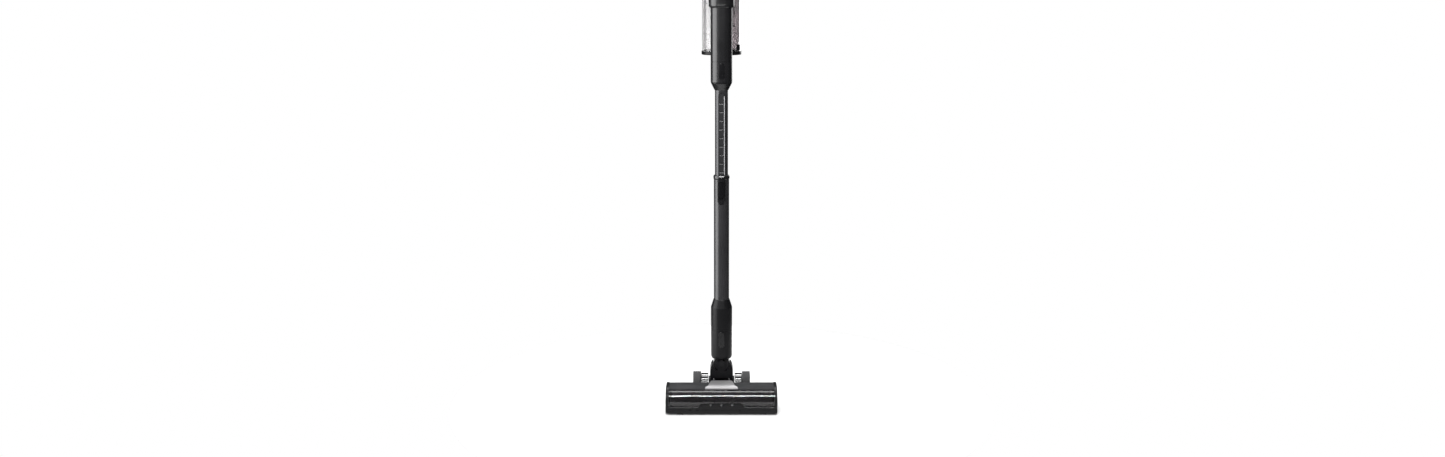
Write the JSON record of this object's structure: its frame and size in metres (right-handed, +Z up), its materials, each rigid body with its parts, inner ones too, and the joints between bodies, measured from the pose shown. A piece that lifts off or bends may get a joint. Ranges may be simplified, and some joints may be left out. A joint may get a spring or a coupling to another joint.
{
  "type": "cordless stick vacuum",
  "caption": "Upright cordless stick vacuum: wide roller floor head on a tilting and swivelling neck, telescoping wand, clear dust bin with cyclone, looped handle and clip-in battery.",
  "frame": {"origin": "centre of the bounding box at floor level, below the wand's rear edge; the floor is Z = 0", "axes": "+Z up along the wand, +X to the right seen from the front, the roller head faces -Y"},
  "size_m": [0.25, 0.26, 1.136],
  "materials": {
    "matte_grey": "matte dark grey moulding",
    "smoked_window": "glossy smoked clear",
    "deep_black": "matte black moulding",
    "bridge_trim": "satin silver grey",
    "bristle": "fine bristles",
    "steel": "turned",
    "motor_metal": "machined",
    "gloss_black": "polished black moulding",
    "lamp_clear": "clear lens",
    "roller_pile": "short dense pile",
    "tyre_rubber": "soft matte rubber",
    "satin_charcoal": "fine grained satin moulding",
    "anodised_tube": "dark anodised, satin",
    "board_green": "printed board",
    "fan_grey": "machined",
    "cyclone_grey": "satin grey moulding",
    "display_glass": "dark glossy lens",
    "clear_bin": "clear smoky, glossy",
    "filter_paper": "pleated paper",
    "cell_wrap": "shrink sleeve over metal can",
    "brass": "plated"
  },
  "bodies": {
    "floor_head": {"head_housing": "matte_grey", "head_window": "smoked_window", "front_bumper": "deep_black", "end_cap_left": "deep_black", "end_cap_right": "deep_black", "centre_bridge": "bridge_trim", "sole_plate": "deep_black", "rear_bristle_strip": "bristle", "sole_screws": "steel", "head_motor": "motor_metal", "tail_arm_left": "gloss_black", "tail_arm_right": "gloss_black", "axle_pins": "steel", "neck_ears": "gloss_black", "pitch_pins": "steel", "head_lamps": "lamp_clear"},
    "brush_roller": {"roller_core": "deep_black", "roller_fabric": "roller_pile"},
    "wheel_left": {"rear_wheel_left": "deep_black", "rear_tyre_left": "tyre_rubber"},
    "wheel_right": {"rear_wheel_right": "deep_black", "rear_tyre_right": "tyre_rubber"},
    "small_roller_left": {"front_roller_left": "deep_black"},
    "small_roller_right": {"front_roller_right": "deep_black"},
    "neck": {"neck_yoke": "satin_charcoal", "swivel_pins": "steel"},
    "connector": {"head_connector": "satin_charcoal"},
    "head_button": {"head_release_button": "gloss_black"},
    "lower_wand": {"wand_sleeve": "satin_charcoal", "outer_tube": "anodised_tube", "tube_collar": "satin_charcoal"},
    "slider": {"length_slider": "gloss_black"},
    "pawl": {"lock_pawl": "steel"},
    "upper_wand": {"inner_tube": "anodised_tube", "upper_connector": "satin_charcoal"},
    "wand_button": {"wand_release_button": "gloss_black"},
    "handheld": {"inlet_tube": "satin_charcoal", "front_housing": "gloss_black", "circuit_board": "board_green", "motor_housing": "satin_charcoal", "motor_stator": "motor_metal", "cyclone_shroud": "cyclone_grey", "cyclone_cones": "cyclone_grey", "handle_left": "satin_charcoal", "handle_right": "satin_charcoal", "display_lens": "display_glass", "battery_dock": "satin_charcoal"},
    "fan": {"fan_rotor": "fan_grey"},
    "bin": {"dust_bin": "clear_bin", "lid_hinge_pin": "steel"},
    "lid": {"bin_lid": "deep_black"},
    "latch": {"bin_latch": "gloss_black"},
    "filter_unit": {"filter_cap": "deep_black", "filter_element": "filter_paper"},
    "trigger": {"power_trigger": "deep_black"},
    "boost": {"boost_button": "gloss_black"},
    "battery": {"battery_case": "satin_charcoal", "battery_cells": "cell_wrap", "charging_jack": "brass"},
    "pack_button": {"battery_button": "gloss_black"}
  },
  "joints": [
    {"name": "roller_spin", "type": "hinge", "parent": "floor_head", "child": "brush_roller", "pos_m": [0, -0.098, 0.027], "axis": [1, 0, 0], "continuous": true},
    {"name": "wheel_left_spin", "type": "hinge", "parent": "floor_head", "child": "wheel_left", "pos_m": [-0.0575, 0.054, 0.022], "axis": [1, 0, 0], "continuous": true},
    {"name": "wheel_right_spin", "type": "hinge", "parent": "floor_head", "child": "wheel_right", "pos_m": [0.0575, 0.054, 0.022], "axis": [1, 0, 0], "continuous": true},
    {"name": "small_roller_left_spin", "type": "hinge", "parent": "floor_head", "child": "small_roller_left", "pos_m": [-0.093, -0.1224, 0.005], "axis": [1, 0, 0], "continuous": true},
    {"name": "small_roller_right_spin", "type": "hinge", "parent": "floor_head", "child": "small_roller_right", "pos_m": [0.093, -0.1224, 0.005], "axis": [1, 0, 0], "continuous": true},
    {"name": "neck_pitch", "type": "hinge", "parent": "floor_head", "child": "neck", "pos_m": [0, -0.018, 0.036], "axis": [-1, 0, 0], "range_deg": [0, 72]},
    {"name": "neck_swivel", "type": "hinge", "parent": "neck", "child": "connector", "pos_m": [0, -0.02, 0.0905], "axis": [0, 1, 0], "range_deg": [-30, 30]},
    {"name": "head_release_press", "type": "slide", "parent": "connector", "child": "head_button", "axis": [0, 1, 0], "range_m": [0, 0.0018], "stiffness_N_per_m": 800},
    {"name": "wand_pull_off", "type": "slide", "parent": "connector", "child": "lower_wand", "axis": [0, 0, 1], "range_m": [0, 0.055]},
    {"name": "wand_length", "type": "slide", "parent": "lower_wand", "child": "upper_wand", "axis": [0, 0, 1], "range_m": [-0.18, 0]},
    {"name": "length_slider_press", "type": "slide", "parent": "lower_wand", "child": "slider", "axis": [0, 0, -1], "range_m": [0, 0.005], "stiffness_N_per_m": 600},
    {"name": "pawl_lift", "type": "slide", "parent": "lower_wand", "child": "pawl", "axis": [0, -1, 0], "range_m": [0, 0.002]},
    {"name": "wand_release_press", "type": "slide", "parent": "upper_wand", "child": "wand_button", "axis": [0, 1, 0], "range_m": [0, 0.0018], "stiffness_N_per_m": 800},
    {"name": "handheld_pull_off", "type": "slide", "parent": "upper_wand", "child": "handheld", "axis": [0, 0, 1], "range_m": [0, 0.055]},
    {"name": "fan_spin", "type": "hinge", "parent": "handheld", "child": "fan", "pos_m": [0, 0.051, 0.97], "axis": [0, 0, 1], "continuous": true},
    {"name": "bin_slide", "type": "slide", "parent": "handheld", "child": "bin", "axis": [0, 0, -1], "range_m": [0, 0.1]},
    {"name": "lid_hinge", "type": "hinge", "parent": "bin", "child": "lid", "pos_m": [0, 0.1008, 0.799], "axis": [1, 0, 0], "range_deg": [0, 90]},
    {"name": "latch_lift", "type": "slide", "parent": "bin", "child": "latch", "axis": [0, 0, 1], "range_m": [0, 0.003], "stiffness_N_per_m": 300},
    {"name": "filter_lift", "type": "slide", "parent": "handheld", "child": "filter_unit", "axis": [0, 0, 1], "range_m": [0, 0.028]},
    {"name": "trigger_press", "type": "slide", "parent": "handheld", "child": "trigger", "axis": [0, -0.8174, 0.5761], "range_m": [0, 0.003], "stiffness_N_per_m": 500},
    {"name": "boost_press", "type": "slide", "parent": "handheld", "child": "boost", "axis": [0, 0.4743, -0.8803], "range_m": [0, 0.0012], "stiffness_N_per_m": 500},
    {"name": "battery_slide", "type": "slide", "parent": "handheld", "child": "battery", "axis": [0, 0, -1], "range_m": [0, 0.055]},
    {"name": "pack_button_press", "type": "slide", "parent": "battery", "child": "pack_button", "axis": [0, -1, 0], "range_m": [0, 0.001], "stiffness_N_per_m": 500}
  ],
  "couplings": [
    {"joint": "pawl_lift", "follows": "length_slider_press", "ratio": 0.4}
  ]
}
